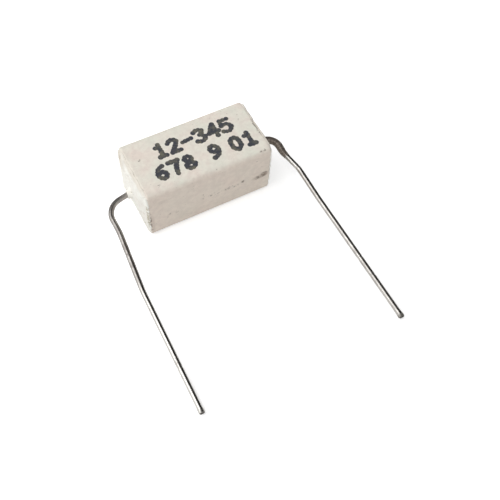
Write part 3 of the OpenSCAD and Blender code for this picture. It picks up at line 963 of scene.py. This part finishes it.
def tinned_wire():
    material = bpy.data.materials.new("tinned copper wire, drawn")
    put = emptied(material)
    place = put("ShaderNodeTexCoord").outputs["Object"]
    along, around, crust, dull, cut, dust, left_over = (
        put("ShaderNodeAttribute", attribute_name=name).outputs["Fac"]
        for name in ("along", "around", "crust", "dull", "cut", "dust", "left over"))

    angle = put("ShaderNodeMath", [around, 2 * math.pi], operation="MULTIPLY")
    across = put("ShaderNodeMath", [angle], operation="COSINE")
    up = put("ShaderNodeMath", [angle], operation="SINE")
    stretched = put("ShaderNodeMath", [along, LINE_STRETCH], operation="MULTIPLY")
    lines = put("ShaderNodeTexNoise", {
        "Vector": put("ShaderNodeCombineXYZ", [across, up, stretched]),
        "Scale": 6.0, "Detail": 4.0, "Roughness": 0.7})
    stains = put("ShaderNodeTexNoise", {
        "Vector": place, "Scale": 1 / (1.1 * MM), "Detail": 4.0, "Roughness": 0.65})
    spots = put("ShaderNodeMapRange", [stains, 0.52, 0.72, 0.0, 0.6])
    patchy = put("ShaderNodeMapRange", [stains, 0.35, 0.65, 0.6, 1.25])
    oxide_and_dimming = put("ShaderNodeMath", [patchy, dull], operation="MULTIPLY")
    stained_and_dimmed = put("ShaderNodeMath", [spots, oxide_and_dimming], operation="MAXIMUM", use_clamp=True)

    crumbs = put("ShaderNodeTexNoise", {
        "Vector": place, "Scale": 1 / (0.3 * MM), "Detail": 5.0, "Roughness": 0.7})
    powder = put("ShaderNodeMath", [crumbs, dust], operation="ADD")
    dusted = put("ShaderNodeMapRange", [powder, 0.7, 1.5, 0.0, 0.85])
    edge = put("ShaderNodeMath", [crumbs, crust], operation="ADD")
    covered = put("ShaderNodeMapRange", [edge, 0.62, 0.78, 0.0, 1.0])
    baked = put("ShaderNodeValToRGB", [crumbs], stops={0.35: "#544b45", 0.65: "#948a80"})
    burr = put("ShaderNodeMapRange", [left_over, 0.1, 0.24, 1.0, 0.0])

    # From the clean tin up: oxide with painted dimming of the reflections, the cut face, its burr, dust
    # and baked crust
    tin = colour("#c9c7c2")
    for cover, over in ((stained_and_dimmed, colour("#8c8783")), (cut, colour("#928f89")),
                        (burr, colour("#514d49")), (dusted, colour("#bdb6af")), (covered, baked)):
        tin = put("ShaderNodeMix", {"Factor": cover, "A": tin, "B": over}, data_type="RGBA")
    coated = put("ShaderNodeMath", [covered, dusted], operation="MAXIMUM")
    metallic = put("ShaderNodeMapRange", [coated, 0.0, 1.0, 1.0, 0.5])
    worn = put("ShaderNodeMapRange", [lines, 0.3, 0.7, 0.2, 0.34])
    etched = put("ShaderNodeMath", [stained_and_dimmed, 0.12, worn], operation="MULTIPLY_ADD")
    etched = put("ShaderNodeMath", [cut, 0.25, etched], operation="MULTIPLY_ADD")
    rough = put("ShaderNodeMix", {"Factor": coated, "A": etched, "B": 0.45}, data_type="FLOAT")
    relief = put("ShaderNodeBump", {"Strength": 0.35, "Distance": 0.008 * MM, "Height": lines})
    relief = put("ShaderNodeBump", {
        "Strength": 0.5, "Distance": 0.03 * MM, "Height": crumbs, "Normal": relief})
    skin = put("ShaderNodeBsdfPrincipled", {
        "Base Color": tin, "Metallic": metallic, "Roughness": rough, "Normal": relief})
    return surfaced(material, skin)


TIN = tinned_wire()


# %% [markdown]
# The two leads differ in what happened to them. The right one has a brown crust baked
# on its root. The left one has only cement dust there, and is dull for half its length,
# which is partly tarnish and partly painted dimming of its reflections. The right one
# is left bright on the leg past its crust, a painted glint, and dull further on.
# Both were nicked by tools, and the nicks are places where the wire is a little thinner.

# %% Leads
# A nick is its place along the wire and its depth, and these are its half widths
NICK_REACH, NICK_FLOOR = 0.2, 0.06
CRUST_START = CREEP_END_X - CAP_FACE_X + 0.02


def nicked(route, nicks):
    """The route with points added round each nick, and the width at every point."""
    lengths = np.cumsum([0.0] + [(b - a).length for a, b in zip(route, route[1:])])
    stations = {float(s): 1.0 for s in lengths}
    for at, depth in nicks:
        for shift, share in ((-NICK_REACH, 0), (-NICK_FLOOR, 1), (NICK_FLOOR, 1), (NICK_REACH, 0)):
            stations[at + shift] = 1.0 - depth * share
    ordered = sorted(stations)
    xyz = np.array([tuple(p) for p in route])
    points = [tuple(np.interp(s, lengths, xyz[:, k]) for k in range(3)) for s in ordered]
    return points, [stations[s] for s in ordered]


def make_lead(name, node, side, lead, nicks, values):
    points, widths = nicked(lead_route(side, **lead), nicks)
    wire = grown(name, polyline(name + " route", [points], [widths]), WIRE, {
        "Material": TIN, "Ring Spacing": 0.08, "Sides": 36, "Pinch Axis": (0.2, 0.0, 0.98), **values})
    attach(wire, "root")
    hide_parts(node)


# The dull settings dim the upper half of this lead: tarnish, and painted dimming of its reflections
make_lead("left_wire", "lead_left", -1, LEFT_LEAD, [(14.0, 0.05), (31.4, 0.08)], {
    "Seed": 1, "Flare": 0.14, "Dust": 0.6, "Dust Start": CRUST_START, "Dust End": CRUST_START + 2.6,
    "Dull Root": 0.9, "Dull Full": 16.5, "Dull End": 22.5, "Dull Rest": 0.15})
# The low dull value at the root leaves a painted glint on the leg past the crust
make_lead("right_wire", "lead_right", 1, RIGHT_LEAD, [(10.9, 0.08), (27.4, 0.09), (30.5, 0.07)], {
    "Seed": 2, "Flare": 0.2, "Crust Thickness": 0.15, "Crust Start": CRUST_START,
    "Crust Full": CRUST_START + 3.4, "Crust End": CRUST_START + 5.8,
    "Dull Root": 0.2, "Dull Full": 10.0, "Dull End": 12.5, "Dull Rest": 0.6, "Cut Length": 0.6})


# %% [markdown]
# The marks on the top were stamped with thick ink, so their strokes are round-ended
# and run together where they meet. Plain digits stand for them here. Each digit is
# drawn as a few corners on a grid two units wide and four high.

# %% Digits
DIGITS = {
    "0": [[(1, 0), (0.2, 0.8), (0.1, 2), (0.2, 3.2), (1, 4), (1.8, 3.2), (1.9, 2), (1.8, 0.8), (1, 0)]],
    "1": [[(0.3, 3.2), (1.1, 4)], [(1.1, 4), (1.1, 0)], [(0.4, 0), (1.8, 0)]],
    "2": [[(0, 3.2), (0.9, 4), (1.9, 3.3), (1.3, 1.8), (0.1, 0)], [(0.1, 0), (2, 0)]],
    "3": [[(0, 3.5), (1, 4), (1.9, 3.2), (1, 2.2)], [(1, 2.2), (2, 1.2), (1.1, 0), (0, 0.4)]],
    "4": [[(1.5, 0), (1.5, 4)], [(1.5, 4), (0, 1.4)], [(0, 1.4), (2.1, 1.4)]],
    "5": [[(1.9, 4), (0.3, 4)], [(0.3, 4), (0.1, 2.3)],
          [(0.1, 2.3), (1.3, 2.5), (2, 1.3), (1.2, 0), (0, 0.4)]],
    "6": [[(1.7, 3.9), (0.6, 3.2), (0.1, 1.4), (1, 0), (1.9, 1), (1.2, 2.2), (0.2, 1.6)]],
    "7": [[(0, 4), (2, 4)], [(2, 4), (1.2, 2), (0.9, 0)]],
    "8": [[(1, 2.1), (0.2, 3.1), (1, 4), (1.8, 3.1), (1, 2.1), (0, 1), (1, 0), (2, 1), (1, 2.1)]],
    "9": [[(0.3, 0.1), (1.4, 0.8), (1.9, 2.6), (1, 4), (0.1, 3), (0.8, 1.8), (1.8, 2.4)]],
    "-": [[(0, 1.9), (2, 2.2)]],
}
GRID_X, GRID_Y = 0.68, 0.54
# Each row of marks is its text, where it starts in X, the pitch and where it stands in Y
ROWS = [("12-345", -5.3, 2.03, 0.42), ("678", -6.7, 2.1, -3.12), ("9", 1.5, 1.8, -3.02),
        ("01", 4.7, 2.1, -3.07)]


def ink_strokes():
    return [[(x + k * pitch + GRID_X * u, y + GRID_Y * v, 0.0) for u, v in stroke]
            for text, x, pitch, y in ROWS
            for k, character in enumerate(text) for stroke in DIGITS[character]]


print("strokes of ink:", len(ink_strokes()))


# %% [markdown]
# Points along the strokes grow into round blobs that melt into one another, which is
# what a volume does. The mesh of that volume is then pressed flat into a film on the
# ceramic, so the strokes keep their swollen ends and blotted borders.

# %% Stamped ink, in Geometry Nodes
def ink_tree():
    tree, put, given = new_tree("stamped ink", {
        "Stroke Radius": 0.375, "Film": 0.02, "Surface": CASE_H, "Dot Spacing": 0.4,
        "Blot Size": 0.35, "Blot Height": 0.3, "Grid": 0.05})
    place = put("GeometryNodeInputPosition")
    bowed = put("GeometryNodeCurveSplineType", {"Curve": given["Geometry"]}, spline_type="CATMULL_ROM")
    dots = put("GeometryNodeCurveToPoints", {"Curve": bowed, "Length": given["Dot Spacing"]},
               mode="LENGTH")
    scale = put("ShaderNodeMath", [1.0, given["Blot Size"]], operation="DIVIDE")
    blot = put("ShaderNodeTexNoise", {"Vector": place, "Scale": scale, "Detail": 3.0})
    swing = put("ShaderNodeMath", [blot, 0.5], operation="SUBTRACT")
    radius = put("ShaderNodeMath", [swing, given["Blot Height"], given["Stroke Radius"]],
                 operation="MULTIPLY_ADD")
    fog = put("GeometryNodePointsToVolume", {
        "Points": dots, "Radius": radius, "Voxel Size": given["Grid"]}, resolution_mode="VOXEL_SIZE")
    blob = put("GeometryNodeVolumeToMesh", {"Volume": fog, "Threshold": 0.1})
    parts = put("ShaderNodeSeparateXYZ", [place]).outputs
    share = put("ShaderNodeMath", [parts["Z"], given["Stroke Radius"]], operation="DIVIDE")
    height = put("ShaderNodeMath", [share, given["Film"], given["Surface"]], operation="MULTIPLY_ADD")
    pressed = put("ShaderNodeCombineXYZ", [parts["X"], parts["Y"], height])
    film = put("GeometryNodeSetPosition", {"Geometry": blob, "Position": pressed})
    return finish_tree(tree, given, film)


STAMPED = ink_tree()


# %% [markdown]
# The ink is black stamping ink that has soaked in and dried. That gives the eye a dull
# blue-black where it is thick, and an olive grey in patches where the ceramic took
# more of it, so a noise mixes the two tints.

# %% Ink, and the marks made in it
def stamping_ink():
    material = bpy.data.materials.new("stamping ink, dried")
    put = emptied(material)
    patches = put("ShaderNodeTexNoise", {
        "Vector": put("ShaderNodeTexCoord").outputs["Object"], "Scale": 1 / (0.9 * MM),
        "Detail": 5.0, "Roughness": 0.75})
    tint = put("ShaderNodeValToRGB", [patches], stops={0.45: "#3f4149", 0.68: "#726f5f"})
    skin = put("ShaderNodeBsdfPrincipled", {"Base Color": tint, "Roughness": 0.7, "IOR": 1.45})
    return surfaced(material, skin)


def make_marks():
    marks = grown("stamped_digits", polyline("digit strokes", ink_strokes()), STAMPED,
                  {"Material": stamping_ink()})
    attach(marks, "root")


make_marks()


# %% [markdown]
# Inside the cement, resistance wire is wound round a rod in an even helix. A helix is
# a straight line whose points are turned about it, each a little further than the one
# before, so its tree starts from a line, and asks only for the sizes that a winder
# would be given: length, pitch, radius and wire.

# %% Winding, in Geometry Nodes
def winding_tree():
    tree, put, given = new_tree("helical winding", {
        "Length": CORE_LEN - 2 * WINDING_MARGIN, "Pitch": WINDING_PITCH, "Coil Radius": WINDING_R,
        "Wire Radius": WINDING_WIRE_R, "Axis Height": AXIS_Z, "Points per Turn": 28.0})
    turns = put("ShaderNodeMath", [given["Length"], given["Pitch"]], operation="DIVIDE")
    count = put("ShaderNodeMath", [turns, given["Points per Turn"]], operation="MULTIPLY")
    line = put("GeometryNodeCurvePrimitiveLine", {"Start": (-0.5, 0, 0), "End": (0.5, 0, 0)})
    fine = put("GeometryNodeResampleCurve", {"Curve": line, "Count": count}, mode="COUNT")
    share = put("GeometryNodeSplineParameter")
    centred = put("ShaderNodeMath", [share, 0.5], operation="SUBTRACT")
    x = put("ShaderNodeMath", [centred, given["Length"]], operation="MULTIPLY")
    turned = put("ShaderNodeMath", [share, turns], operation="MULTIPLY")
    angle = put("ShaderNodeMath", [turned, 2 * math.pi], operation="MULTIPLY")
    across = put("ShaderNodeMath", [angle], operation="COSINE")
    up = put("ShaderNodeMath", [angle], operation="SINE")
    y = put("ShaderNodeMath", [across, given["Coil Radius"]], operation="MULTIPLY")
    z = put("ShaderNodeMath", [up, given["Coil Radius"], given["Axis Height"]],
            operation="MULTIPLY_ADD")
    spot = put("ShaderNodeCombineXYZ", [x, y, z])
    helix = put("GeometryNodeSetPosition", {"Geometry": fine, "Position": spot})
    circle = put("GeometryNodeCurvePrimitiveCircle", {
        "Resolution": 10, "Radius": given["Wire Radius"]})
    wire = put("GeometryNodeCurveToMesh", {"Curve": helix, "Profile Curve": circle, "Fill Caps": True})
    return finish_tree(tree, given, wire)


HELIX = winding_tree()


# %% [markdown]
# The inner parts don't show, but anyone who opens the part should find them finished.
# One function serves all three, because each is a fine grain of two tints: annealed
# resistance wire is a warm, dull grey metal, nickel-plated steel that was deep-drawn
# is a paler satin one, and extruded alumina is a cream white with a powdery skin.
# Their real grain is too fine to show and is drawn at 0.2 to 0.4 mm.

# %% Winding, end caps and rod
def speckled(name, low, high, size, metallic, roughness, relief_height):
    """A finish of two tints that a noise mixes, with the same noise as its relief."""
    material = bpy.data.materials.new(name)
    put = emptied(material)
    grain = put("ShaderNodeTexNoise", {
        "Vector": put("ShaderNodeTexCoord").outputs["Object"], "Scale": 1 / (size * MM),
        "Detail": 4.0, "Roughness": 0.6})
    tint = put("ShaderNodeValToRGB", [grain], stops={0.35: low, 0.65: high})
    worn = put("ShaderNodeMapRange", [grain, 0.3, 0.7, roughness - 0.06, roughness + 0.06])
    relief = put("ShaderNodeBump", {
        "Strength": 0.4, "Distance": relief_height * MM, "Height": grain})
    skin = put("ShaderNodeBsdfPrincipled", {
        "Base Color": tint, "Roughness": worn, "Metallic": metallic, "Normal": relief})
    return surfaced(material, skin)


def make_winding():
    material = speckled("nickel-chrome wire, drawn and annealed", "#7d746a", "#9a9288",
                        0.2, 1.0, 0.4, 0.004)
    winding = grown("winding", bpy.data.meshes.new("winding start"), HELIX, {"Material": material})
    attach(winding, "root")
    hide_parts("resistance_winding")


def finish_inner_parts():
    steel = speckled("low-carbon steel, deep-drawn and nickel-plated", "#a8a69f", "#bdbbb4",
                     0.35, 1.0, 0.35, 0.006)
    rod = speckled("alumina rod, extruded and fired", "#e4dfd2", "#efeadf", 0.4, 0.0, 0.7, 0.02)
    for node, material in {"end_cap_left": steel, "end_cap_right": steel, "core_rod": rod}.items():
        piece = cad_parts[node]
        piece.data.materials.clear()
        piece.data.materials.append(material)
        print("%s: %s" % (node, material.name))


make_winding()
finish_inner_parts()


# %% [markdown]
# The last cell prints the box of what shows and the box of the CAD model. The two
# should agree, because the looks are not meant to change the object's size.

# %% Print the boxes and finish
boxes = {"cad": [list(corner) for corner in CAD_BOX],
         "visual": [list(corner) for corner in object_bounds()]}
for key, (low, high) in boxes.items():
    print(key, "box in mm:", [round((b - a) / MM, 2) for a, b in zip(low, high)])
